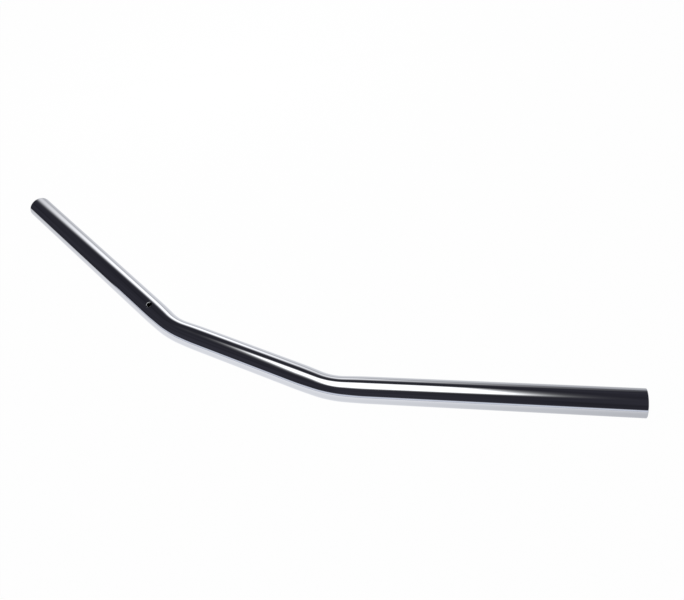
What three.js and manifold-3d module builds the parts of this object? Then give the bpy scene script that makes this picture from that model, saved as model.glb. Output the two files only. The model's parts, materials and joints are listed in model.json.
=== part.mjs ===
// A motorcycle handlebar: one bent, chromed steel tube that is hollow from end to end, with a hole for
// the wiring in one arm and a threaded insert fixed inside each end.
//
// Millimetres, +Z up. The bar lies in the XY plane, with the origin on the tube's centreline at the
// middle of the clamp length. The clamp length runs along X, and both arms sweep towards +Y, which is
// the rider's side. The side with the cable hole faces up.

import * as THREE from 'three';
import * as BufferGeometryUtils from 'three/addons/utils/BufferGeometryUtils.js';
import Module from 'manifold-3d';

// Overall shape
const OVERALL_WIDTH = 626; // between the centres of the two end faces
const BEND_SPACING = 164; // between the two corners that the straight lengths would meet at
const SWEEP_DEG = 18; // turn of each arm away from the clamp length
const BEND_RADIUS = 80; // of the centreline

// Tube
const TUBE_DIAMETER = 22.2; // 7/8 in
const WALL = 2.0;
const END_CHAMFER = 0.5; // outer edge of each end face
const MOUTH_CHAMFER = 0.4; // inner edge of each end face

// Ovality that the bending leaves: the section is flatter across the bend and a little taller along Z
const BEND_FLATTENING = 0.065;
const BEND_SWELLING = 0.03;
const OVAL_LEAD = 18; // length on each side of the arc over which the section turns round again

// Cable hole, in the arm on the -X side
const CABLE_HOLE_DIAMETER = 5;
const CABLE_HOLE_FROM_CORNER = 31.5; // along the arm's centreline
const CABLE_HOLE_TILT_DEG = 4.5; // from +Z towards the rider

// Threaded inserts
const INSERT_CLEARANCE = 0.3; // all round, taken up by brazing metal
const INSERT_LENGTH = 24;
const INSERT_SETBACK = 12; // from the end face to the insert's outer face
const INSERT_CHAMFER = 0.8;
const THREAD_DIAMETER = 8; // M8 x 1.25
const THREAD_PITCH = 1.25;
const THREAD_COUNTERSINK = 0.6; // how far the countersink is wider than the thread, in radius

// Fineness of the faceted surfaces
const TUBE_SIDES = 40;
const RINGS_PER_BEND = 12;
const HOLE_SIDES = 24;

const radius = TUBE_DIAMETER / 2;
const boreRadius = radius - WALL;
const sweep = THREE.MathUtils.degToRad(SWEEP_DEG);
const arcLength = BEND_RADIUS * sweep;
const cornerToArc = BEND_RADIUS * Math.tan(sweep / 2);
const cornerToEnd = (OVERALL_WIDTH - BEND_SPACING) / 2 / Math.cos(sweep);
const clampHalf = BEND_SPACING / 2 - cornerToArc;
const armStraight = cornerToEnd - cornerToArc;
const halfLength = clampHalf + arcLength + armStraight;

const wasm = await Module();
wasm.setup();

// Point and heading of the centreline at a distance s from its middle, positive towards +X.
function centreline(s) {
  const side = Math.sign(s) || 1;
  const along = Math.abs(s);
  const turned = THREE.MathUtils.clamp(along - clampHalf, 0, arcLength) / BEND_RADIUS;
  const straight = Math.max(along - clampHalf - arcLength, 0);
  const x = Math.min(along, clampHalf) + BEND_RADIUS * Math.sin(turned) + straight * Math.cos(turned);
  const y = BEND_RADIUS * (1 - Math.cos(turned)) + straight * Math.sin(turned);
  return { point: new THREE.Vector2(side * x, y), heading: side * turned };
}

// How oval the section is at s: 0 on the straight lengths, 1 at the middle of each bend.
function ovality(s) {
  const fromMiddleOfBend = Math.abs(Math.abs(s) - clampHalf - arcLength / 2);
  const reach = arcLength / 2 + OVAL_LEAD;
  return THREE.MathUtils.smoothstep(reach - fromMiddleOfBend, 0, reach);
}

// Takes a shape made on a straight tube along Y, where it was turned, to its place on the bent tube.
// The shape's X axis becomes the direction across the bend, and its Z axis stays upright.
function bendToBar(geometry) {
  const position = geometry.getAttribute('position');
  for (let i = 0; i < position.count; i++) {
    const s = position.getY(i);
    const { point, heading } = centreline(s);
    const oval = ovality(s);
    const across = position.getX(i) * (1 - BEND_FLATTENING * oval);
    const x = point.x + across * Math.sin(heading);
    const y = point.y - across * Math.cos(heading);
    position.setXYZ(i, x, y, position.getZ(i) * (1 + BEND_SWELLING * oval));
  }
  return geometry;
}

// Welds a geometry's seams, so that it is one closed surface.
function weld(geometry) {
  geometry.deleteAttribute('normal');
  geometry.deleteAttribute('uv');
  return BufferGeometryUtils.mergeVertices(geometry, 1e-5);
}

function toSolid(geometry) {
  const vertProperties = new Float32Array(geometry.getAttribute('position').array);
  const triVerts = new Uint32Array(geometry.getIndex().array);
  return new wasm.Manifold(new wasm.Mesh({ numProp: 3, vertProperties, triVerts }));
}

function toGeometry(solid) {
  const mesh = solid.getMesh();
  const geometry = new THREE.BufferGeometry();
  geometry.setAttribute('position', new THREE.BufferAttribute(new Float32Array(mesh.vertProperties), 3));
  geometry.setIndex(new THREE.BufferAttribute(new Uint32Array(mesh.triVerts), 1));
  geometry.computeVertexNormals();
  return geometry;
}

// Distances along one half of the bar at which the tube has a ring of points.
function ringPlaces() {
  const start = Math.max(clampHalf - OVAL_LEAD, 0);
  const end = clampHalf + arcLength + OVAL_LEAD;
  const places = [];
  for (let i = 0; i <= RINGS_PER_BEND; i++) {
    places.push(start + ((end - start) * i) / RINGS_PER_BEND);
  }
  return places;
}

// The tube's section along its length, as an outline that closes on itself: up the outside from one
// end to the other, round the rim, and back down the bore.
function tubeProfile() {
  const places = ringPlaces();
  const rings = [...places.map((s) => -s).reverse(), ...places];
  const outside = rings.map((s) => new THREE.Vector2(radius, s));
  const bore = rings.map((s) => new THREE.Vector2(boreRadius, s)).reverse();
  const rim = (end) => [
    new THREE.Vector2(radius, end * (halfLength - END_CHAMFER)),
    new THREE.Vector2(radius - END_CHAMFER, end * halfLength),
    new THREE.Vector2(boreRadius + MOUTH_CHAMFER, end * halfLength),
    new THREE.Vector2(boreRadius, end * (halfLength - MOUTH_CHAMFER)),
  ];
  const outline = [...rim(-1).reverse(), ...outside, ...rim(1), ...bore];
  return [...outline, outline[0].clone()];
}

// A straight cutter through one wall of the tube, from the middle of the bore out past the surface.
function cableHoleCutter() {
  const length = TUBE_DIAMETER;
  const cutter = new THREE.CylinderGeometry(
    CABLE_HOLE_DIAMETER / 2, CABLE_HOLE_DIAMETER / 2, length, HOLE_SIDES);
  const { point, heading } = centreline(-(clampHalf + arcLength + CABLE_HOLE_FROM_CORNER - cornerToArc));
  cutter.translate(0, length / 2, 0);
  cutter.rotateX(Math.PI / 2 - THREE.MathUtils.degToRad(CABLE_HOLE_TILT_DEG));
  cutter.rotateZ(heading);
  cutter.translate(point.x, point.y, 0);
  return cutter;
}

function barTube() {
  const straight = weld(new THREE.LatheGeometry(tubeProfile(), TUBE_SIDES));
  const tube = toSolid(bendToBar(straight));
  const hole = toSolid(weld(cableHoleCutter()));
  return toGeometry(tube.subtract(hole));
}

// A round insert with a through thread, turned about Y, with its outer face at y = 0.
function threadedInsert() {
  const outer = boreRadius - INSERT_CLEARANCE;
  const thread = (THREAD_DIAMETER - THREAD_PITCH) / 2;
  const mouth = THREAD_DIAMETER / 2 + THREAD_COUNTERSINK;
  const outline = [
    new THREE.Vector2(mouth, 0),
    new THREE.Vector2(thread, thread - mouth),
    new THREE.Vector2(thread, -INSERT_LENGTH),
    new THREE.Vector2(outer - INSERT_CHAMFER, -INSERT_LENGTH),
    new THREE.Vector2(outer, INSERT_CHAMFER - INSERT_LENGTH),
    new THREE.Vector2(outer, -INSERT_CHAMFER),
    new THREE.Vector2(outer - INSERT_CHAMFER, 0),
    new THREE.Vector2(mouth, 0),
  ];
  return weld(new THREE.LatheGeometry(outline, TUBE_SIDES));
}

const chrome = new THREE.MeshStandardMaterial({ color: 0xd9dbe0, roughness: 0.05, metalness: 1 });
const bareSteel = new THREE.MeshStandardMaterial({ color: 0x8d8b87, roughness: 0.45, metalness: 1 });

function named(name, geometry, material) {
  const mesh = new THREE.Mesh(geometry, material);
  mesh.name = name;
  return mesh;
}

const handlebar = new THREE.Group();
handlebar.add(named('bar_tube', barTube(), chrome));

for (const [name, side] of [['end_insert_left', 1], ['end_insert_right', -1]]) {
  const insert = named(name, threadedInsert(), bareSteel);
  const { point, heading } = centreline(side * (halfLength - INSERT_SETBACK));
  insert.position.set(point.x, point.y, 0);
  insert.rotation.z = heading - (side * Math.PI) / 2;
  handlebar.add(insert);
}

export default handlebar;
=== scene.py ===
"""A chromed motorcycle handlebar: the tube, its threaded end inserts, their brazing, and a small studio.

Each piece has an operator, and the sizes and finishes are in property groups on the scene. The tube is
made the way a shop makes it: a straight blank is turned, drilled and rounded, and a Geometry Nodes tree
bends it. Everything is in metres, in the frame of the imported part, with +X towards the rider's left hand,
+Y towards the rider, and the bar lying in the XY plane.
"""

import json
import math

import bpy
import numpy as np
from mathutils import Matrix, Vector


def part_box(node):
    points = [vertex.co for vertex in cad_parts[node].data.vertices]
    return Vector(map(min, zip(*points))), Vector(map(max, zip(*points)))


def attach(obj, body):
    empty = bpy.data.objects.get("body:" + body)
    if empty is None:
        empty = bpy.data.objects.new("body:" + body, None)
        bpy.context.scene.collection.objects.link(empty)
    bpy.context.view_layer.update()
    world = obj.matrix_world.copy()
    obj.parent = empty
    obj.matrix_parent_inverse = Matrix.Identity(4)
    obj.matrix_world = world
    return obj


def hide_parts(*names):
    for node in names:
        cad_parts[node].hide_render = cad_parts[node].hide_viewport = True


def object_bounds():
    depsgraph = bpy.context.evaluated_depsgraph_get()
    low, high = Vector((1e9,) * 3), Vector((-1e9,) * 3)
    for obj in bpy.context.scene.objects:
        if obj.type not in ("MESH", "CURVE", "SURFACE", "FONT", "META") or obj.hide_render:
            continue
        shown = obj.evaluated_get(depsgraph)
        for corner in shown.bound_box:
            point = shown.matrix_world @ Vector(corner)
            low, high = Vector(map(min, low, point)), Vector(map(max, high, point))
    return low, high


bl_info = {
    "name": "Chromed handlebar",
    "version": (1, 0, 0),
    "blender": (4, 5, 0),
    "location": "View3D > Sidebar > Handlebar",
    "description": "Builds a bent and chromed handlebar tube with threaded end inserts",
    "category": "Add Mesh",
}

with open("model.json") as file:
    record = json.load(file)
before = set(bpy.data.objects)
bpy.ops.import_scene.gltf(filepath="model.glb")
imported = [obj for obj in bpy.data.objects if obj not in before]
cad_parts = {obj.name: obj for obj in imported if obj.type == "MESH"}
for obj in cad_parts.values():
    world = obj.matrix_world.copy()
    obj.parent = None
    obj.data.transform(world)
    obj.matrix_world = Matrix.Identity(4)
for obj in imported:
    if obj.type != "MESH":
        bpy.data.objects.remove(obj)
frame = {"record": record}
CAD_LOW, CAD_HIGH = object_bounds()
MOUNTS = {mount["name"]: mount for mount in frame["record"]["mounts"]}

MM = 0.001
BODY = "root"
ENDS = {"left": 1, "right": -1}

# What the frame says about the bar
LEFT_END = Vector(MOUNTS["left_end_face"]["pos_m"])
LEFT_AXIS = Vector(MOUNTS["left_end_face"]["axis"]).normalized()
LEFT_SEAT = Vector(MOUNTS["left_insert_face"]["pos_m"])
TUBE_RADIUS = -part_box("bar_tube")[0].y
SWEEP = math.atan2(LEFT_AXIS.y, LEFT_AXIS.x)
BEND_CORNER = LEFT_END.x - LEFT_END.y / math.tan(SWEEP)
INSERT_SETBACK = (LEFT_END - LEFT_SEAT).dot(LEFT_AXIS)


# Sizes and finishes


def length(name, description, default, low=0.0):
    return bpy.props.FloatProperty(
        name=name, description=description, default=default, min=low, precision=5, unit="LENGTH"
    )


def angle(name, description, default):
    return bpy.props.FloatProperty(
        name=name, description=description, default=default, precision=4, subtype="ANGLE"
    )


def share(name, description, default):
    return bpy.props.FloatProperty(
        name=name, description=description, default=default, min=0.0, max=1.0, precision=4, subtype="FACTOR"
    )


def amount(name, description, default):
    return bpy.props.FloatProperty(name=name, description=description, default=default, min=0.0)


def colour(name, description, default):
    return bpy.props.FloatVectorProperty(
        name=name, description=description, default=default, size=3, min=0.0, max=1.0, subtype="COLOR"
    )


class TubeSizes(bpy.types.PropertyGroup):
    radius: length("Radius", "Half the outside diameter of the tube", TUBE_RADIUS)
    wall: length("Wall", "Thickness of the tube's wall", 2.0 * MM)
    rim_round: length("Rim round", "Radius of the rounded outer edge of each end", 0.5 * MM)
    mouth_round: length("Mouth round", "Radius of the rounded inner edge of each end", 0.4 * MM)
    bend_corner: length("Bend corner", "Distance from the middle to where the straight lengths would meet", BEND_CORNER)
    sweep: angle("Sweep", "Turn of each arm away from the clamp length", SWEEP)
    end_x: length("End", "Distance from the middle plane to the centre of an end face", LEFT_END.x)
    bend_radius: length("Bend radius", "Radius of the centreline in each bend", 80 * MM)
    flattening: share("Flattening", "How much narrower the section is across the middle of a bend", 0.065)
    swelling: share("Swelling", "How much taller the section is in the middle of a bend", 0.03)
    oval_lead: length("Oval lead", "Length beside each bend over which the section turns round again", 18 * MM)
    hole_radius: length("Cable hole", "Radius of the cable hole", 2.5 * MM)
    hole_from_corner: length("Hole place", "Distance of the cable hole from the bend corner", 31.5 * MM)
    hole_tilt: angle("Hole tilt", "Turn of the cable hole from upright towards the rider", math.radians(4.5))
    hole_lip: length("Hole lip", "Width of the dished, polished lip round the cable hole", 0.32 * MM)
    hole_dip: length("Hole dip", "Depth of the lip at the hole's edge", 0.22 * MM)


class InsertSizes(bpy.types.PropertyGroup):
    setback: length("Setback", "Depth of the insert's outer face behind the end face", INSERT_SETBACK)
    body: length("Length", "Length of the insert", 24 * MM)
    clearance: length("Clearance", "Gap between the insert and the bore, filled by the brazing", 0.3 * MM)
    chamfer: length("Chamfer", "Chamfer on the insert's outer edges", 0.8 * MM)
    thread_diameter: length("Thread", "Nominal diameter of the thread", 8 * MM)
    thread_pitch: length("Pitch", "Pitch of the thread", 1.25 * MM)
    countersink: length("Countersink", "How far the countersink is wider than the thread, in radius", 0.6 * MM)
    bead: length("Bead", "Half width of the brazing bead", 0.75 * MM)


class Finishes(bpy.types.PropertyGroup):
    chrome: colour("Chrome", "Colour of the plating seen square on", (0.65, 0.66, 0.68))
    chrome_roughness: share("Chrome roughness", "Roughness of the plating", 0.035)
    steel: colour("Bare steel", "Colour of the unplated bore", (0.21, 0.2, 0.19))
    steel_roughness: share("Steel roughness", "Roughness of the unplated bore", 0.42)
    turned: colour("Turned steel", "Colour of the inserts", (0.42, 0.41, 0.39))
    brazing: colour("Brazing", "Colour of the brazing bead", (0.36, 0.31, 0.24))
    throw_in: length("Plating throw", "How far the plating reaches into the bore", 16 * MM)


class StudioSizes(bpy.types.PropertyGroup):
    azimuth: angle("Azimuth", "Direction of the camera round the bar, 0 in front of it", math.radians(44.882))
    elevation: angle("Elevation", "Height of the camera above the plane of the bar", math.radians(57.880))
    roll: angle("Roll", "Turn of the camera about its own axis", math.radians(-22.352))
    distance: length("Distance", "Distance of the camera from the point it looks at", 0.61443)
    aim_x: length("Aim X", "Where the camera looks, along the clamp length", 0.05463, low=-1.0)
    aim_y: length("Aim Y", "Where the camera looks, towards the rider", 0.07943, low=-1.0)
    lens: amount("Lens", "Focal length in millimetres on a 36 mm sensor", 36.53)
    floor: amount("Floor light", "Brightness of the floor in the camera", 0.985)
    room: colour("Room", "Colour of the dark room in reflections", (0.0321, 0.0317, 0.0427))


# Tools for meshes and node trees


def add_object(name, data):
    piece = bpy.data.objects.new(name, data)
    bpy.context.scene.collection.objects.link(piece)
    return piece


def mesh_from(name, points, faces, **values):
    """A smooth mesh without unused points. Each extra value is a list with one number for each point."""
    used = np.unique(np.concatenate([np.ravel(block) for block in faces]))
    renumber = np.full(len(points), -1)
    renumber[used] = np.arange(len(used))
    quads = [tuple(int(renumber[i]) for i in face) for block in faces for face in block]
    mesh = bpy.data.meshes.new(name)
    mesh.from_pydata(np.asarray(points)[used].tolist(), [], quads)
    for label, numbers in values.items():
        attribute = mesh.attributes.new(label, "FLOAT", "POINT")
        attribute.data.foreach_set("value", np.asarray(numbers, np.float32)[used])
    mesh.polygons.foreach_set("use_smooth", [True] * len(mesh.polygons))
    mesh.update()
    if mesh.validate():
        raise RuntimeError(f"{name} has faulty faces")
    return mesh


def grid_faces(index, close_rows=False):
    """Quads between neighbouring rows of point numbers. The last column joins the first."""
    rows = index if not close_rows else np.vstack([index, index[:1]])
    rows = np.hstack([rows, rows[:, :1]])
    corners = (rows[:-1, :-1], rows[:-1, 1:], rows[1:, 1:], rows[1:, :-1])
    return np.stack([corner.ravel() for corner in corners], axis=1)


def arc(centre, radius, start, end, steps):
    """Points on an arc in the plane of a turned outline, as (radius, place) pairs."""
    turns = np.linspace(start, end, steps + 1)
    return [(centre[0] + radius * math.cos(t), centre[1] + radius * math.sin(t)) for t in turns]


def node(tree, kind, inputs=None, **settings):
    made = tree.nodes.new(kind)
    for label, value in settings.items():
        setattr(made, label, value)
    for label, value in (inputs or {}).items():
        if isinstance(value, bpy.types.NodeSocket):
            tree.links.new(value, made.inputs[label])
        else:
            made.inputs[label].default_value = value
    return made


def maths(tree, operation, *values):
    """One Math node on sockets and numbers, and its output."""
    return node(tree, "ShaderNodeMath", dict(enumerate(values)), operation=operation).outputs[0]


def new_tree(name, kind, inputs, outputs):
    """An empty node group whose sockets are (label, socket type, default or None)."""
    tree = bpy.data.node_groups.new(name, kind)
    for in_out, sockets in (("INPUT", inputs), ("OUTPUT", outputs)):
        for label, socket_type, default in sockets:
            socket = tree.interface.new_socket(name=label, in_out=in_out, socket_type=socket_type)
            if default is not None:
                socket.default_value = default
    return tree


def shape_tree(name, inputs):
    """A Geometry Nodes group with a mesh, number inputs and a material, and its two end nodes."""
    numbers = [(label, "NodeSocketFloat", value) for label, value in inputs]
    given = [("Geometry", "NodeSocketGeometry", None), *numbers, ("Material", "NodeSocketMaterial", None)]
    tree = new_tree(name, "GeometryNodeTree", given, [("Geometry", "NodeSocketGeometry", None)])
    return tree, node(tree, "NodeGroupInput"), node(tree, "NodeGroupOutput")


def close_tree(tree, source, geometry, result):
    """Ends a Geometry Nodes group the way every one of them ends."""
    realised = node(tree, "GeometryNodeRealizeInstances", {"Geometry": geometry})
    given = {"Geometry": realised.outputs[0], "Material": source.outputs["Material"]}
    painted = node(tree, "GeometryNodeSetMaterial", given)
    tree.links.new(painted.outputs[0], result.inputs[0])


def run_tree(piece, tree, values):
    """Puts the tree on the piece, sets its inputs by name, and keeps the result as a plain mesh."""
    modifier = piece.modifiers.new(tree.name, "NODES")
    modifier.node_group = tree
    for item in tree.interface.items_tree:
        if item.in_out == "INPUT" and item.name in values:
            modifier[item.identifier] = values[item.name]
    depsgraph = bpy.context.evaluated_depsgraph_get()
    shaped = piece.evaluated_get(depsgraph)
    result = bpy.data.meshes.new_from_object(shaped, preserve_all_data_layers=True, depsgraph=depsgraph)
    piece.modifiers.remove(modifier)
    blank = piece.data
    result.name = piece.name
    piece.data = result
    bpy.data.meshes.remove(blank)


def finish_piece(piece, slot, *replaced):
    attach(piece, BODY)
    if replaced:
        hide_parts(*replaced)


# Materials


def shader_group(name, inputs, outputs):
    tree = new_tree(name, "ShaderNodeTree", inputs, outputs)
    return tree, node(tree, "NodeGroupInput"), node(tree, "NodeGroupOutput")


TOOL_MARKS = 0.18 * MM  # between the rings that the lathe tool leaves


def polish_group():
    """Fine, faint marks of polishing, as a height and a mask: lines and soft waves."""
    known = bpy.data.node_groups.get("polish marks")
    if known:
        return known
    inputs = [("Line scale", "NodeSocketFloat", 900.0), ("Wave scale", "NodeSocketFloat", 26.0)]
    outputs = [("Height", "NodeSocketFloat", None), ("Mask", "NodeSocketFloat", None)]
    tree, source, result = shader_group("polish marks", inputs, outputs)
    place = node(tree, "ShaderNodeTexCoord").outputs["Object"]
    drawn = node(tree, "ShaderNodeMapping", {"Vector": place, "Scale": (0.12, 1.0, 1.0)}).outputs[0]
    lines = node(tree, "ShaderNodeTexNoise", {"Vector": drawn, "Scale": source.outputs["Line scale"], "Detail": 3.0})
    waves = node(tree, "ShaderNodeTexNoise", {"Vector": place, "Scale": source.outputs["Wave scale"], "Detail": 1.0})
    fine = maths(tree, "MULTIPLY", lines.outputs["Fac"], 0.02)
    height = maths(tree, "ADD", fine, waves.outputs["Fac"])
    tree.links.new(height, result.inputs["Height"])
    tree.links.new(lines.outputs["Fac"], result.inputs["Mask"])
    return tree


def empty_nodes(data):
    """The node tree of a material or a world, with nothing in it."""
    data.use_nodes = True
    data.node_tree.nodes.clear()
    return data.node_tree


def new_material(name):
    made = bpy.data.materials.new(name)
    tree = empty_nodes(made)
    output = node(tree, "ShaderNodeOutputMaterial")
    shader = node(tree, "ShaderNodeBsdfPrincipled")
    tree.links.new(shader.outputs[0], output.inputs["Surface"])
    return made, tree, shader


def between(tree, mask, low, high):
    """A number that goes from low to high as the mask goes from 0 to 1."""
    made = node(tree, "ShaderNodeMapRange", {"Value": mask, "To Min": low, "To Max": high})
    return made.outputs[0]


def mix_node_colours(tree, mask, first, second):
    """Mix of two colours that may be sockets or plain triples."""
    made = node(tree, "ShaderNodeMix", data_type="RGBA")
    tree.links.new(mask, made.inputs["Factor"])
    for label, value in (("A", first), ("B", second)):
        target = [s for s in made.inputs if s.name == label and s.type == "RGBA"][0]
        if isinstance(value, bpy.types.NodeSocket):
            tree.links.new(value, target)
        else:
            target.default_value = (*value, 1.0)
    return [s for s in made.outputs if s.type == "RGBA"][0]


def chrome_plate(finish):
    """Bright chrome, which thins out to dull bare steel inside the bore."""
    made, tree, shader = new_material("chrome_plate")
    polish = node(tree, "ShaderNodeGroup")
    polish.node_tree = polish_group()
    plating = node(tree, "ShaderNodeAttribute", attribute_name="plating").outputs["Fac"]
    place = node(tree, "ShaderNodeTexCoord").outputs["Object"]
    stain = node(tree, "ShaderNodeTexNoise", {"Vector": place, "Scale": 420.0, "Detail": 6.0}).outputs["Fac"]
    darker = tuple(0.45 * c for c in finish.steel)
    bare = mix_node_colours(tree, between(tree, stain, -0.5, 1.5), darker, tuple(finish.steel))
    dimmer = tuple(0.985 * c for c in finish.chrome)
    bright = mix_node_colours(tree, polish.outputs["Mask"], dimmer, tuple(finish.chrome))
    tree.links.new(mix_node_colours(tree, plating, bare, bright), shader.inputs["Base Color"])
    shader.inputs["Metallic"].default_value = 1.0
    gloss = between(tree, polish.outputs["Mask"], 0.8 * finish.chrome_roughness, 1.2 * finish.chrome_roughness)
    dull = between(tree, stain, 0.7 * finish.steel_roughness, 1.3 * finish.steel_roughness)
    gap = maths(tree, "SUBTRACT", gloss, dull)
    roughness = maths(tree, "MULTIPLY_ADD", gap, plating, dull)
    tree.links.new(roughness, shader.inputs["Roughness"])
    relief = {"Height": polish.outputs["Height"], "Strength": 0.02, "Distance": 0.002}
    bump = node(tree, "ShaderNodeBump", relief)
    tree.links.new(bump.outputs[0], shader.inputs["Normal"])
    return made


def turned_steel(finish):
    """Turned mild steel with the fine rings that the lathe tool leaves."""
    made, tree, shader = new_material("turned_steel")
    along = node(tree, "ShaderNodeAttribute", attribute_name="outline").outputs["Fac"]
    place = node(tree, "ShaderNodeTexCoord").outputs["Object"]
    stain = node(tree, "ShaderNodeTexNoise", {"Vector": place, "Scale": 600.0, "Detail": 5.0}).outputs["Fac"]
    darker = tuple(0.5 * c for c in finish.turned)
    tone = mix_node_colours(tree, between(tree, stain, -0.6, 1.7), darker, tuple(finish.turned))
    tree.links.new(tone, shader.inputs["Base Color"])
    shader.inputs["Metallic"].default_value = 1.0
    tree.links.new(between(tree, stain, 0.26, 0.5), shader.inputs["Roughness"])
    rings = maths(tree, "SINE", maths(tree, "MULTIPLY", along, 2 * math.pi / TOOL_MARKS))
    relief = {"Height": rings, "Strength": 0.35, "Distance": 0.01 * MM}
    bump = node(tree, "ShaderNodeBump", relief)
    tree.links.new(bump.outputs[0], shader.inputs["Normal"])
    return made


def brazing_metal(finish):
    """The rippled, slightly yellow bead that holds an insert."""
    made, tree, shader = new_material("brazing_metal")
    place = node(tree, "ShaderNodeTexCoord").outputs["Object"]
    stain = node(tree, "ShaderNodeTexNoise", {"Vector": place, "Scale": 700.0, "Detail": 4.0}).outputs["Fac"]
    darker = tuple(0.4 * c for c in finish.brazing)
    tone = mix_node_colours(tree, between(tree, stain, -0.6, 1.7), darker, tuple(finish.brazing))
    tree.links.new(tone, shader.inputs["Base Color"])
    shader.inputs["Metallic"].default_value = 1.0
    tree.links.new(between(tree, stain, 0.3, 0.6), shader.inputs["Roughness"])
    relief = {"Height": stain, "Strength": 0.3, "Distance": 0.1 * MM}
    bump = node(tree, "ShaderNodeBump", relief)
    tree.links.new(bump.outputs[0], shader.inputs["Normal"])
    return made


# The tube


class Bar:
    """Lengths along the centreline that follow from the tube's sizes."""

    def __init__(self, tube):
        corner_to_arc = tube.bend_radius * math.tan(tube.sweep / 2)
        self.clamp_half = tube.bend_corner - corner_to_arc
        self.arc_end = self.clamp_half + tube.bend_radius * tube.sweep
        corner_to_end = (tube.end_x - tube.bend_corner) / math.cos(tube.sweep)
        self.half = self.arc_end + corner_to_end - corner_to_arc
        self.hole = -(self.arc_end + tube.hole_from_corner - corner_to_arc)
        self.bend_start = self.clamp_half - tube.oval_lead
        self.bend_end = self.arc_end + tube.oval_lead


def bending_tree():
    """Bends a straight blank along X into the bar, and makes its section oval in the bends."""
    sizes = ["Clamp half", "Bend radius", "Sweep", "Flattening", "Swelling", "Oval lead"]
    tree, source, result = shape_tree("bend the blank", [(label, 0.0) for label in sizes])
    clamp_half, radius, sweep, flattening, swelling, lead = (source.outputs[label] for label in sizes)
    place = node(tree, "GeometryNodeInputPosition").outputs[0]
    x, y, z = node(tree, "ShaderNodeSeparateXYZ", {0: place}).outputs
    side = maths(tree, "SIGN", x)
    along = maths(tree, "ABSOLUTE", x)
    arc_length = maths(tree, "MULTIPLY", radius, sweep)
    past_clamp = maths(tree, "SUBTRACT", along, clamp_half)
    in_arc = maths(tree, "MINIMUM", maths(tree, "MAXIMUM", past_clamp, 0.0), arc_length)
    straight = maths(tree, "MAXIMUM", maths(tree, "SUBTRACT", past_clamp, arc_length), 0.0)
    turned = maths(tree, "DIVIDE", in_arc, radius)
    sine, cosine = maths(tree, "SINE", turned), maths(tree, "COSINE", turned)

    path_x = maths(tree, "MINIMUM", along, clamp_half)
    path_x = maths(tree, "MULTIPLY_ADD", radius, sine, path_x)
    path_x = maths(tree, "MULTIPLY_ADD", straight, cosine, path_x)
    path_x = maths(tree, "MULTIPLY", path_x, side)
    rise = maths(tree, "SUBTRACT", 1.0, cosine)
    path_y = maths(tree, "MULTIPLY_ADD", straight, sine, maths(tree, "MULTIPLY", radius, rise))

    reach = maths(tree, "MULTIPLY_ADD", arc_length, 0.5, lead)
    bend_middle = maths(tree, "MULTIPLY_ADD", arc_length, 0.5, clamp_half)
    off_middle = maths(tree, "ABSOLUTE", maths(tree, "SUBTRACT", along, bend_middle))
    ramp = maths(tree, "MAXIMUM", maths(tree, "SUBTRACT", 1.0, maths(tree, "DIVIDE", off_middle, reach)), 0.0)
    ease = maths(tree, "SUBTRACT", 3.0, maths(tree, "MULTIPLY", ramp, 2.0))
    oval = maths(tree, "MULTIPLY", maths(tree, "MULTIPLY", ramp, ramp), ease)
    narrowing = maths(tree, "SUBTRACT", 1.0, maths(tree, "MULTIPLY", flattening, oval))
    across = maths(tree, "MULTIPLY", y, narrowing)
    tall = maths(tree, "MULTIPLY", z, maths(tree, "MULTIPLY_ADD", swelling, oval, 1.0))

    lean = maths(tree, "MULTIPLY", across, maths(tree, "MULTIPLY", sine, side))
    bar_x = maths(tree, "SUBTRACT", path_x, lean)
    bar_y = maths(tree, "MULTIPLY_ADD", across, cosine, path_y)
    bent = node(tree, "ShaderNodeCombineXYZ", {0: bar_x, 1: bar_y, 2: tall}).outputs[0]
    moved = node(tree, "GeometryNodeSetPosition", {"Geometry": source.outputs[0], "Position": bent})
    close_tree(tree, source, moved.outputs[0], result)
    return tree


SIDES = 96  # points round the tube
HOLE_CELLS = 20  # rows and columns of the square field round the cable hole
EDGE = 0.12 * MM  # width of the narrow rows that keep a rounded edge's shading to itself
BEND_STEP, ARM_STEP = 1.8 * MM, 9 * MM  # between the rows in the bends and on the straight lengths
HOLE_THROW = 0.4  # reach of the plating from the cable hole, as a share of its reach from a mouth
HOLE_LOSS = 0.15  # share of that reach already used up at the hole's edge


def spaced(start, end, step):
    return list(np.linspace(start, end, max(2, round((end - start) / step) + 1)))


def blank_rows(tube, bar):
    """Places of the rows along the blank, and the number of the first row of the hole's field."""
    cell = tube.radius * 2 * math.pi / SIDES
    field = [bar.hole + cell * (i - HOLE_CELLS / 2) for i in range(HOLE_CELLS + 1)]
    bend = spaced(bar.bend_start, bar.bend_end, BEND_STEP)
    last = bar.half - tube.rim_round
    arm = spaced(bar.bend_end, last - EDGE, ARM_STEP)[1:]
    half = spaced(0.0, bar.bend_start, ARM_STEP)[:-1] + bend + arm
    rows = [-place for place in half[:0:-1]] + half
    clear = 0.3 * cell
    rows = [row for row in rows if row < field[0] - clear or row > field[-1] + clear] + field
    rows = sorted(rows)
    return rows, rows.index(field[0])


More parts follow.
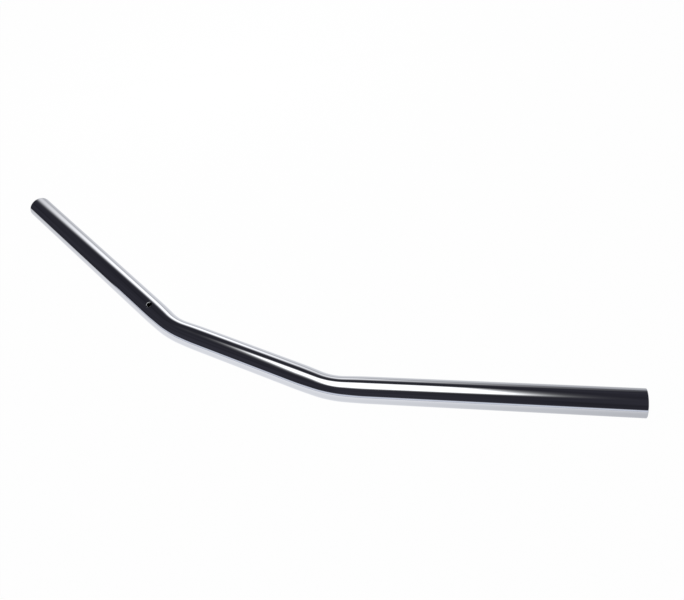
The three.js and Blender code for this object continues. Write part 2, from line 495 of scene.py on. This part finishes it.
def tube_outline(tube, rows):
    """The wall's section along the blank as (radius, place), once round, starting with the outer rows."""
    bore = tube.radius - tube.wall
    last = rows[-1] + EDGE
    steps = 6
    quarter = math.pi / 2

    def rim(end):
        outer = arc((tube.radius - tube.rim_round, last), tube.rim_round, 0, quarter, steps)
        face = last + tube.rim_round
        inner_centre = (bore + tube.mouth_round, face - tube.mouth_round)
        inner = arc(inner_centre, tube.mouth_round, quarter, 2 * quarter, steps)
        flat = [(tube.radius - tube.rim_round - EDGE, face), (bore + tube.mouth_round + EDGE, face)]
        support = [(bore, face - tube.mouth_round - EDGE)]
        return [(radius, end * place) for radius, place in outer + flat + inner + support]

    outer = [(tube.radius, row) for row in rows]
    inner = [(bore, row) for row in reversed(rows)]
    return outer + rim(1) + inner + rim(-1)[::-1]


def on_wall(radius, places, turns, tilt):
    """Points of a round wall at places along the blank and turns about it from the hole's direction."""
    turn = turns - tilt
    return np.stack([places, -radius * np.sin(turn), radius * np.cos(turn)], axis=-1)


def hole_ring(tube, bar, away, height, around):
    """A ring round the cable hole's axis: distances from the axis, heights above the centreline."""
    across = away * np.sin(around)
    up = np.array([0.0, math.sin(tube.hole_tilt), math.cos(tube.hole_tilt)])
    aside = np.array([0.0, -math.cos(tube.hole_tilt), math.sin(tube.hole_tilt)])
    points = np.outer(height, up) + np.outer(across, aside)
    points[:, 0] = bar.hole + away * np.cos(around)
    return points


def wall_height(radius, away, around):
    return np.sqrt(radius**2 - (away * np.sin(around)) ** 2)


def field_rings(tube, bar, radius, start, edge, around):
    """Rings on a round wall from a circle round the hole out to the square edge of the field.

    edge holds (place along, turn about) pairs, relative to the hole's middle."""
    across = np.arcsin(start * np.sin(around) / radius)
    circle = np.stack([start * np.cos(around), across], axis=1)
    shares = [0.0, 0.025, 0.07, 0.14, 0.24, 0.36, 0.5, 0.66, 0.83]
    rings = []
    for part in shares:
        spot = circle * (1 - part) + edge * part
        rings.append(on_wall(radius, bar.hole + spot[:, 0], spot[:, 1], tube.hole_tilt))
    return rings


def tube_blank(tube, bar, throw_in):
    """The straight tube with rounded ends and the cable hole, as one closed mesh."""
    rows, first = blank_rows(tube, bar)
    outline = np.array(tube_outline(tube, rows))
    turns = 2 * math.pi * np.arange(SIDES) / SIDES
    points = [on_wall(radius, np.full(SIDES, place), turns, tube.hole_tilt) for radius, place in outline]
    index = np.arange(len(outline) * SIDES).reshape(len(outline), SIDES)
    rim_rows = (len(outline) - 2 * len(rows)) // 2
    half = HOLE_CELLS // 2
    columns = np.arange(-half, half + 1) % SIDES
    outer = [first + i for i in range(HOLE_CELLS + 1)]
    inner = [len(rows) + rim_rows + len(rows) - 1 - row for row in outer]

    walls = grid_faces(index, close_rows=True)
    cells = walls.reshape(len(outline), SIDES, 4)
    keep = np.ones((len(outline), SIDES), bool)
    for low in (outer[0], inner[-1]):
        keep[low : low + HOLE_CELLS, columns[:-1]] = False
    faces = [cells[keep]]

    # The field's square edge, once round, as steps along and about the blank
    steps = [(i, -half) for i in range(-half, half)]
    steps += [(half, i) for i in range(-half, half)]
    steps += [(-i, half) for i in range(-half, half)]
    steps += [(-half, -i) for i in range(-half, half)]
    cell = 2 * math.pi / SIDES
    edge = np.array([(i * tube.radius * cell, j * cell) for i, j in steps])
    around = np.arctan2(edge[:, 1] * tube.radius, edge[:, 0])
    bore = tube.radius - tube.wall
    drop_steps = np.linspace(0, math.pi / 2, 13)

    rings = field_rings(tube, bar, tube.radius, tube.hole_radius + tube.hole_lip, edge, around)[::-1]
    for turn in drop_steps[1:]:
        away = tube.hole_radius + tube.hole_lip * (1 - math.sin(turn))
        height = wall_height(tube.radius, away, around) - tube.hole_dip * (1 - math.cos(turn))
        rings.append(hole_ring(tube, bar, away, height, around))
    top = wall_height(tube.radius, tube.hole_radius, around) - tube.hole_dip - EDGE
    bottom = wall_height(bore, tube.hole_radius, around)
    for part in (0.0, 0.5, 0.92):
        rings.append(hole_ring(tube, bar, tube.hole_radius, top * (1 - part) + bottom * part, around))
    rings += field_rings(tube, bar, bore, tube.hole_radius, edge, around)

    start = index.size
    ring_index = start + np.arange(len(rings) * len(edge)).reshape(len(rings), len(edge))
    outer_edge = np.array([[index[outer[i + half], j % SIDES] for i, j in steps]])
    inner_edge = np.array([[index[inner[i + half], j % SIDES] for i, j in steps]])
    faces.append(grid_faces(np.vstack([outer_edge, ring_index, inner_edge]))[:, ::-1])

    points = np.concatenate(points + rings)
    plating = blank_plating(tube, bar, points, throw_in)
    return mesh_from("blank", points, faces, plating=plating)


def blank_plating(tube, bar, points, throw_in):
    """1 where the plating is whole, falling off inside the bore away from the mouths and the hole."""
    distance = np.hypot(points[:, 1], points[:, 2])
    bore = tube.radius - tube.wall
    inside = distance < bore + 0.1 * MM
    from_mouth = bar.half - np.abs(points[:, 0])
    from_hole = np.abs(points[:, 0] - bar.hole) - tube.hole_radius
    hole_reach = np.maximum(from_hole, 0) / (HOLE_THROW * throw_in) + HOLE_LOSS
    reach = np.minimum(from_mouth / throw_in, hole_reach)
    fade = np.clip(1 - reach, 0, 1)
    return np.where(inside, fade * fade * (3 - 2 * fade), 1.0)


class HANDLEBAR_OT_tube(bpy.types.Operator):
    """Turns, drills and bends the chromed tube"""

    bl_idname = "handlebar.tube"
    bl_label = "Make the tube"

    def execute(self, context):
        tube, finish = context.scene.bar_tube_sizes, context.scene.bar_finishes
        bar = Bar(tube)
        piece = add_object("chromed_tube", tube_blank(tube, bar, finish.throw_in))
        values = {
            "Clamp half": bar.clamp_half,
            "Bend radius": tube.bend_radius,
            "Sweep": tube.sweep,
            "Flattening": tube.flattening,
            "Swelling": tube.swelling,
            "Oval lead": tube.oval_lead,
            "Material": chrome_plate(finish),
        }
        run_tree(piece, bending_tree(), values)
        finish_piece(piece, "chrome_plate", "bar_tube")
        return {"FINISHED"}


# The threaded inserts and their brazing

INSERT_SIDES = 64
ROWS_PER_PITCH = 12
THREAD_CREST = 0.18  # share of each pitch that stays uncut
FLANK_SLOPE = 1.45  # how fast the groove deepens beside it
THREAD_DEPTH = 0.54  # of the groove, as a share of the pitch
RUN_IN = 1.5  # pitches over which the groove reaches its full depth
BEAD_SIDES, BEAD_STEPS = 160, 16  # round the insert, and round the bead's own section
BEAD_SINK, BEAD_BACK, BEAD_FLATNESS = 0.35, 0.25, 0.6  # in half widths of the bead


def thread_tree():
    """Cuts a screw thread into the wall of a bore about X, where the mask "thread" is above 0."""
    sizes = ["Pitch", "Depth"]
    tree, source, result = shape_tree("cut the thread", [(label, 0.0) for label in sizes])
    place = node(tree, "GeometryNodeInputPosition").outputs[0]
    x, y, z = node(tree, "ShaderNodeSeparateXYZ", {0: place}).outputs
    mask = node(tree, "GeometryNodeInputNamedAttribute", {"Name": "thread"}, data_type="FLOAT").outputs[0]
    turn = maths(tree, "DIVIDE", maths(tree, "ARCTAN2", y, z), 2 * math.pi)
    lap = maths(tree, "FRACT", maths(tree, "ADD", maths(tree, "DIVIDE", x, source.outputs["Pitch"]), turn))
    ridge = maths(tree, "ABSOLUTE", maths(tree, "MULTIPLY_ADD", lap, 2.0, -1.0))
    crest = maths(tree, "MULTIPLY", maths(tree, "SUBTRACT", ridge, THREAD_CREST), FLANK_SLOPE)
    groove = maths(tree, "MINIMUM", maths(tree, "MAXIMUM", crest, 0.0), 1.0)
    cut = maths(tree, "MULTIPLY", maths(tree, "MULTIPLY", groove, source.outputs["Depth"]), mask)
    outwards = node(tree, "ShaderNodeCombineXYZ", {1: y, 2: z}).outputs[0]
    heading = node(tree, "ShaderNodeVectorMath", {0: outwards}, operation="NORMALIZE").outputs[0]
    step = node(tree, "ShaderNodeVectorMath", {0: heading, "Scale": cut}, operation="SCALE").outputs[0]
    moved = node(tree, "GeometryNodeSetPosition", {"Geometry": source.outputs[0], "Offset": step})
    close_tree(tree, source, moved.outputs[0], result)
    return tree


def turned_mesh(name, outline, threads):
    """Turns an outline of (radius, place) about X into a closed mesh, with its length as an attribute."""
    outline, sides = np.array(outline), INSERT_SIDES
    turns = 2 * math.pi * np.arange(sides) / sides
    rings = [on_wall(radius, np.full(sides, place), turns, 0.0) for radius, place in outline]
    points = np.concatenate(rings)
    index = np.arange(len(points)).reshape(len(outline), sides)
    gaps = np.hypot(*np.diff(outline, axis=0).T)
    run = np.repeat(np.concatenate([[0.0], np.cumsum(gaps)]), sides)
    mask = np.repeat(threads, sides)
    return mesh_from(name, points, [grid_faces(index, close_rows=True)], outline=run, thread=mask)


def insert_outline(tube, insert):
    """The insert's section as (radius, place), with its outer face at 0 and its body towards -X."""
    outer = tube.radius - tube.wall - insert.clearance
    core = (insert.thread_diameter - insert.thread_pitch) / 2
    mouth = insert.thread_diameter / 2 + insert.countersink
    sink = mouth - core
    back = -insert.body
    thread_rows = [-place for place in spaced(sink, insert.body - EDGE, insert.thread_pitch / ROWS_PER_PITCH)]
    bore = [(core, place) for place in thread_rows] + [(core, back)]
    face = [(mouth, 0.0), (mouth - EDGE, -EDGE)]
    outside = [
        (core + EDGE, back),
        (outer - insert.chamfer - EDGE, back),
        (outer - insert.chamfer, back),
        (outer, back + insert.chamfer),
        (outer, back + insert.chamfer + EDGE),
        (outer, -insert.chamfer - EDGE),
        (outer, -insert.chamfer),
        (outer - insert.chamfer, 0.0),
        (outer - insert.chamfer - EDGE, 0.0),
        (mouth + EDGE, 0.0),
    ]
    outline = face + bore + outside
    run_in = RUN_IN * insert.thread_pitch
    depth = np.array([min((-place - sink) / run_in, 1.0) for _, place in outline])
    threads = [0.0] * len(face) + list(np.clip(depth[len(face) :], 0, 1))
    threads[len(face) + len(bore) :] = [0.0] * len(outside)
    return outline, threads


def end_place(side, setback, tube, bar):
    """Matrix that takes a shape about X to the bar's end, with its +X pointing out of the mouth."""
    along = bar.half - bar.arc_end - setback
    x = bar.clamp_half + tube.bend_radius * math.sin(tube.sweep) + along * math.cos(tube.sweep)
    y = tube.bend_radius * (1 - math.cos(tube.sweep)) + along * math.sin(tube.sweep)
    heading = tube.sweep if side > 0 else math.pi - tube.sweep
    return Matrix.Translation((side * x, y, 0.0)) @ Matrix.Rotation(heading, 4, "Z")


class HANDLEBAR_OT_inserts(bpy.types.Operator):
    """Turns and threads the insert inside each end"""

    bl_idname = "handlebar.inserts"
    bl_label = "Make the end inserts"

    def execute(self, context):
        tube, insert = context.scene.bar_tube_sizes, context.scene.bar_insert_sizes
        bar, steel, tree = Bar(tube), turned_steel(context.scene.bar_finishes), thread_tree()
        outline, threads = insert_outline(tube, insert)
        depth = THREAD_DEPTH * insert.thread_pitch
        for name, side in ENDS.items():
            mesh = turned_mesh("turned", outline, threads)
            piece = add_object(f"threaded_insert_{name}", mesh)
            run_tree(piece, tree, {"Pitch": insert.thread_pitch, "Depth": depth, "Material": steel})
            piece.data.transform(end_place(side, insert.setback, tube, bar))
            finish_piece(piece, "bare_steel", f"end_insert_{name}")
        return {"FINISHED"}


def bead_mesh(name, tube, insert, seed):
    """A rippled ring of brazing metal in the corner between the bore and the insert's face."""
    around, over = BEAD_SIDES, BEAD_STEPS
    chance = np.random.default_rng(seed)
    phases = chance.uniform(0, 2 * math.pi, 4)
    turns = 2 * math.pi * np.arange(around) / around
    middle = tube.radius - tube.wall - BEAD_SINK * insert.bead
    swell = 1 + 0.07 * np.sin(23 * turns + phases[0]) + 0.06 * np.sin(9 * turns + phases[1])
    shift = 0.05 * insert.bead * np.sin(5 * turns + phases[2])
    lean = 2 * math.pi * np.arange(over) / over
    points = []
    for turn in lean:
        radius = middle + insert.bead * swell * math.cos(turn)
        place = shift - BEAD_BACK * insert.bead + BEAD_FLATNESS * insert.bead * swell * math.sin(turn)
        points.append(np.stack([place, -radius * np.sin(turns), radius * np.cos(turns)], axis=-1))
    index = np.arange(around * over).reshape(over, around)
    return mesh_from(name, np.concatenate(points), [grid_faces(index, close_rows=True)])


class HANDLEBAR_OT_brazing(bpy.types.Operator):
    """Runs the bead of brazing round each insert"""

    bl_idname = "handlebar.brazing"
    bl_label = "Make the brazing"

    def execute(self, context):
        tube, insert = context.scene.bar_tube_sizes, context.scene.bar_insert_sizes
        bar, metal = Bar(tube), brazing_metal(context.scene.bar_finishes)
        for number, (name, side) in enumerate(ENDS.items()):
            piece = add_object(f"brazing_{name}", bead_mesh("bead", tube, insert, number))
            piece.data.materials.append(metal)
            piece.data.transform(end_place(side, insert.setback, tube, bar))
            finish_piece(piece, "bare_steel")
        return {"FINISHED"}


# The studio: lights that only reflections see. Each is a brightness over the surface of a card or the
# floor, with soft edges.


def emitter(name, light, share_of_light):
    """A material that emits in proportion to a mask, and is clear where the mask is 0."""
    made = bpy.data.materials.new(name)
    tree = empty_nodes(made)
    clear = node(tree, "ShaderNodeBsdfTransparent")
    glow = node(tree, "ShaderNodeEmission", {"Color": (*light, 1.0)})
    both = node(tree, "ShaderNodeMixShader", {0: share_of_light(tree), 1: clear.outputs[0], 2: glow.outputs[0]})
    output = node(tree, "ShaderNodeOutputMaterial")
    tree.links.new(both.outputs[0], output.inputs["Surface"])
    return made


def soft_step(tree, inside, softness):
    """0 well outside an edge and 1 well inside it, from the distance inside the edge."""
    curve = maths(tree, "TANH", maths(tree, "DIVIDE", inside, softness))
    return maths(tree, "MULTIPLY_ADD", curve, 0.5, 0.5)


def soft_card(low, high, soft_x, soft_y, core):
    """The mask of a rectangle with soft edges, in the card's own plane."""

    def mask(tree):
        place = node(tree, "ShaderNodeTexCoord").outputs["Object"]
        x, y, _ = node(tree, "ShaderNodeSeparateXYZ", {0: place}).outputs
        edges = [
            soft_step(tree, maths(tree, "SUBTRACT", x, low[0]), soft_x),
            soft_step(tree, maths(tree, "SUBTRACT", high[0], x), soft_x),
            soft_step(tree, maths(tree, "SUBTRACT", y, low[1]), soft_y),
            soft_step(tree, maths(tree, "SUBTRACT", high[1], y), soft_y),
        ]
        pairs = maths(tree, "MULTIPLY", edges[0], edges[1]), maths(tree, "MULTIPLY", edges[2], edges[3])
        return maths(tree, "MULTIPLY", maths(tree, "MULTIPLY", *pairs), core)

    return mask


def add_card(name, low, high, soft, light, place, core=1.0):
    """Hangs a soft-edged light at a place, out of the camera's sight. It reaches past its edges to fade."""
    soft_x, soft_y = soft
    left, right = low[0] - CARD_FADE * soft_x, high[0] + CARD_FADE * soft_x
    bottom, top = low[1] - CARD_FADE * soft_y, high[1] + CARD_FADE * soft_y
    mesh = bpy.data.meshes.new(name)
    corners = [(left, bottom, 0), (right, bottom, 0), (right, top, 0), (left, top, 0)]
    mesh.from_pydata(corners, [], [(0, 1, 2, 3)])
    mesh.materials.append(emitter(f"{name} face", light, soft_card(low, high, soft_x, soft_y, core)))
    made = add_object(name, mesh)
    made.matrix_world = place
    made.visible_camera = False
    made.visible_shadow = False


def upright(azimuth, distance):
    """A place for a card that stands across a direction from the origin, with its Y axis up."""
    facing = Matrix.Rotation(azimuth, 4, "Z") @ Matrix.Translation((distance, 0, 0))
    return facing @ Matrix(((0, 0, 1, 0), (1, 0, 0, 0), (0, 1, 0, 0), (0, 0, 0, 1)))


# Metres, and brightness beside the pale backdrop's 1
FLOOR_REACH = 6.0
CARD_FADE = 3.5  # how far a card reaches past its edges, in widths of their softness
FAR = 9.0  # an edge too far away to be seen in the bar
POOL_MIDDLE, POOL_TURN, POOL_SPREAD = (0.0112, -0.1446, 0.0), 1.433, (0.2358, 0.5635, 1.0)
POOL_LIGHT, FAR_FLOOR_LIGHT = (0.925, 0.93, 0.95), (0.193, 0.198, 0.222)
SOFTBOX_EDGES, SOFTBOX_SOFT, SOFTBOX_LIGHT = ((-0.2, -0.331), (0.2, 0.331)), (0.07, 0.07), (1.74,) * 3
SOFTBOX_CORE, SIDE_CORE = 3.5, 3.5  # above 1, the middle is evenly bright and only the edges fade
SOFTBOX_PLACE = Matrix.Translation((-0.1172, 0.1962, 0.8371)) @ Matrix.Rotation(0.549, 4, "Z")
SIDE_EDGES, SIDE_SOFT, SIDE_LIGHT = ((0.0771, -0.008), (0.1307, 0.1249)), (0.2277, 0.0392), (1.7, 1.7, 1.74)
SIDE_PLACE = upright(1.96, 0.3753)
FRONT_EDGES, FRONT_SOFT, FRONT_LIGHT = ((-FAR, -FAR), (FAR, 0.7969)), (0.1, 0.1347), (0.86, 0.902, 1.026)
FRONT_PLACE = upright(-1.454, 3.6109)
ROOM_DEPTH = (0.2, 1.8)  # darkest and palest parts of the dark room, beside its colour


def floor_material(studio):
    """A pale floor, evenly lit for the camera, that reflects as a pool of light."""
    made = bpy.data.materials.new("studio floor")
    tree = empty_nodes(made)
    place = node(tree, "ShaderNodeTexCoord").outputs["Object"]
    pool = {"Vector": place, "Location": POOL_MIDDLE, "Rotation": (0, 0, POOL_TURN), "Scale": POOL_SPREAD}
    spot = node(tree, "ShaderNodeMapping", pool, vector_type="TEXTURE").outputs[0]
    flat = node(tree, "ShaderNodeVectorMath", {0: spot, 1: (1, 1, 0)}, operation="MULTIPLY").outputs[0]
    away = node(tree, "ShaderNodeVectorMath", {0: flat, 1: flat}, operation="DOT_PRODUCT").outputs["Value"]
    fade = maths(tree, "EXPONENT", maths(tree, "MULTIPLY", away, -0.5))
    tint = node(tree, "ShaderNodeVectorMath", operation="MULTIPLY_ADD")
    tint.inputs[0].default_value, tint.inputs[2].default_value = POOL_LIGHT, FAR_FLOOR_LIGHT
    tree.links.new(fade, tint.inputs[1])
    reflected = node(tree, "ShaderNodeEmission")
    tree.links.new(tint.outputs[0], reflected.inputs["Color"])
    seen = node(tree, "ShaderNodeEmission", {"Strength": studio.floor})
    matt = node(tree, "ShaderNodeBsdfDiffuse", {"Color": (0.02, 0.02, 0.02, 1.0)})
    shaded = node(tree, "ShaderNodeAddShader", {0: seen.outputs[0], 1: matt.outputs[0]})
    path = node(tree, "ShaderNodeLightPath").outputs["Is Camera Ray"]
    both = node(tree, "ShaderNodeMixShader", {0: path, 1: reflected.outputs[0], 2: shaded.outputs[0]})
    output = node(tree, "ShaderNodeOutputMaterial")
    tree.links.new(both.outputs[0], output.inputs["Surface"])
    return made


def room_world(studio):
    """A dark room in reflections, and a pale backdrop for the camera."""
    world = bpy.data.worlds.new("studio room")
    tree = empty_nodes(world)
    place = node(tree, "ShaderNodeTexCoord").outputs["Generated"]
    clutter = node(tree, "ShaderNodeTexNoise", {"Vector": place, "Scale": 2.6, "Detail": 3.0}).outputs["Fac"]
    depth = between(tree, clutter, *ROOM_DEPTH)
    dark = node(tree, "ShaderNodeBackground", {"Color": (*studio.room, 1.0), "Strength": depth})
    pale = node(tree, "ShaderNodeBackground", {"Color": (1.0, 1.0, 1.0, 1.0), "Strength": studio.floor})
    path = node(tree, "ShaderNodeLightPath").outputs["Is Camera Ray"]
    both = node(tree, "ShaderNodeMixShader", {0: path, 1: dark.outputs[0], 2: pale.outputs[0]})
    output = node(tree, "ShaderNodeOutputWorld")
    tree.links.new(both.outputs[0], output.inputs["Surface"])
    return world


def place_camera(studio):
    data = bpy.data.cameras.new("camera")
    data.sensor_width = 36.0
    data.lens = studio.lens
    data.clip_start, data.clip_end = 0.01, 50.0
    camera = add_object("camera", data)
    azimuth, flat = studio.azimuth, math.cos(studio.elevation)
    back = Vector((math.sin(azimuth) * flat, -math.cos(azimuth) * flat, math.sin(studio.elevation)))
    aim = Vector((studio.aim_x, studio.aim_y, 0.0))
    facing = (-back).to_track_quat("-Z", "Y").to_matrix().to_4x4()
    roll = Matrix.Rotation(studio.roll, 4, "Z")
    camera.matrix_world = Matrix.Translation(aim + back * studio.distance) @ facing @ roll
    return camera


class HANDLEBAR_OT_studio(bpy.types.Operator):
    """Sets up the floor, the light, the room and the camera"""

    bl_idname = "handlebar.studio"
    bl_label = "Make the studio"

    def execute(self, context):
        scene, studio = context.scene, context.scene.bar_studio
        floor_mesh = bpy.data.meshes.new("floor")
        signs = ((-1, -1), (1, -1), (1, 1), (-1, 1))
        corners = [(x * FLOOR_REACH, y * FLOOR_REACH, CAD_LOW.z) for x, y in signs]
        floor_mesh.from_pydata(corners, [], [(0, 1, 2, 3)])
        floor_mesh.materials.append(floor_material(studio))
        add_object("floor", floor_mesh)

        add_card("softbox", *SOFTBOX_EDGES, SOFTBOX_SOFT, SOFTBOX_LIGHT, SOFTBOX_PLACE, SOFTBOX_CORE)
        add_card("side_card", *SIDE_EDGES, SIDE_SOFT, SIDE_LIGHT, SIDE_PLACE, SIDE_CORE)
        add_card("front_wall", *FRONT_EDGES, FRONT_SOFT, FRONT_LIGHT, FRONT_PLACE)

        scene.world = room_world(studio)
        scene.camera = place_camera(studio)
        scene.view_settings.view_transform = "Standard"
        return {"FINISHED"}


# The add-on


class HANDLEBAR_PT_panel(bpy.types.Panel):
    """Lists the handlebar's operators and sizes"""

    bl_label = "Handlebar"
    bl_space_type = "VIEW_3D"
    bl_region_type = "UI"
    bl_category = "Handlebar"

    def draw(self, context):
        for operator in OPERATORS:
            self.layout.operator(operator.bl_idname)
        for group in GROUPS:
            box = self.layout.box()
            sizes = getattr(context.scene, group)
            for label in sizes.__annotations__:
                box.prop(sizes, label)


OPERATORS = (HANDLEBAR_OT_tube, HANDLEBAR_OT_inserts, HANDLEBAR_OT_brazing, HANDLEBAR_OT_studio)
GROUPS = {
    "bar_tube_sizes": TubeSizes,
    "bar_insert_sizes": InsertSizes,
    "bar_finishes": Finishes,
    "bar_studio": StudioSizes,
}


def register():
    for group, kind in GROUPS.items():
        bpy.utils.register_class(kind)
        setattr(bpy.types.Scene, group, bpy.props.PointerProperty(type=kind))
    for kind in (*OPERATORS, HANDLEBAR_PT_panel):
        bpy.utils.register_class(kind)


def unregister():
    for kind in (HANDLEBAR_PT_panel, *reversed(OPERATORS)):
        bpy.utils.unregister_class(kind)
    for group, kind in GROUPS.items():
        delattr(bpy.types.Scene, group)
        bpy.utils.unregister_class(kind)


def main():
    register()
    bpy.ops.handlebar.tube()
    bpy.ops.handlebar.inserts()
    bpy.ops.handlebar.brazing()
    bpy.ops.handlebar.studio()


if __name__ == "__main__":
    main()
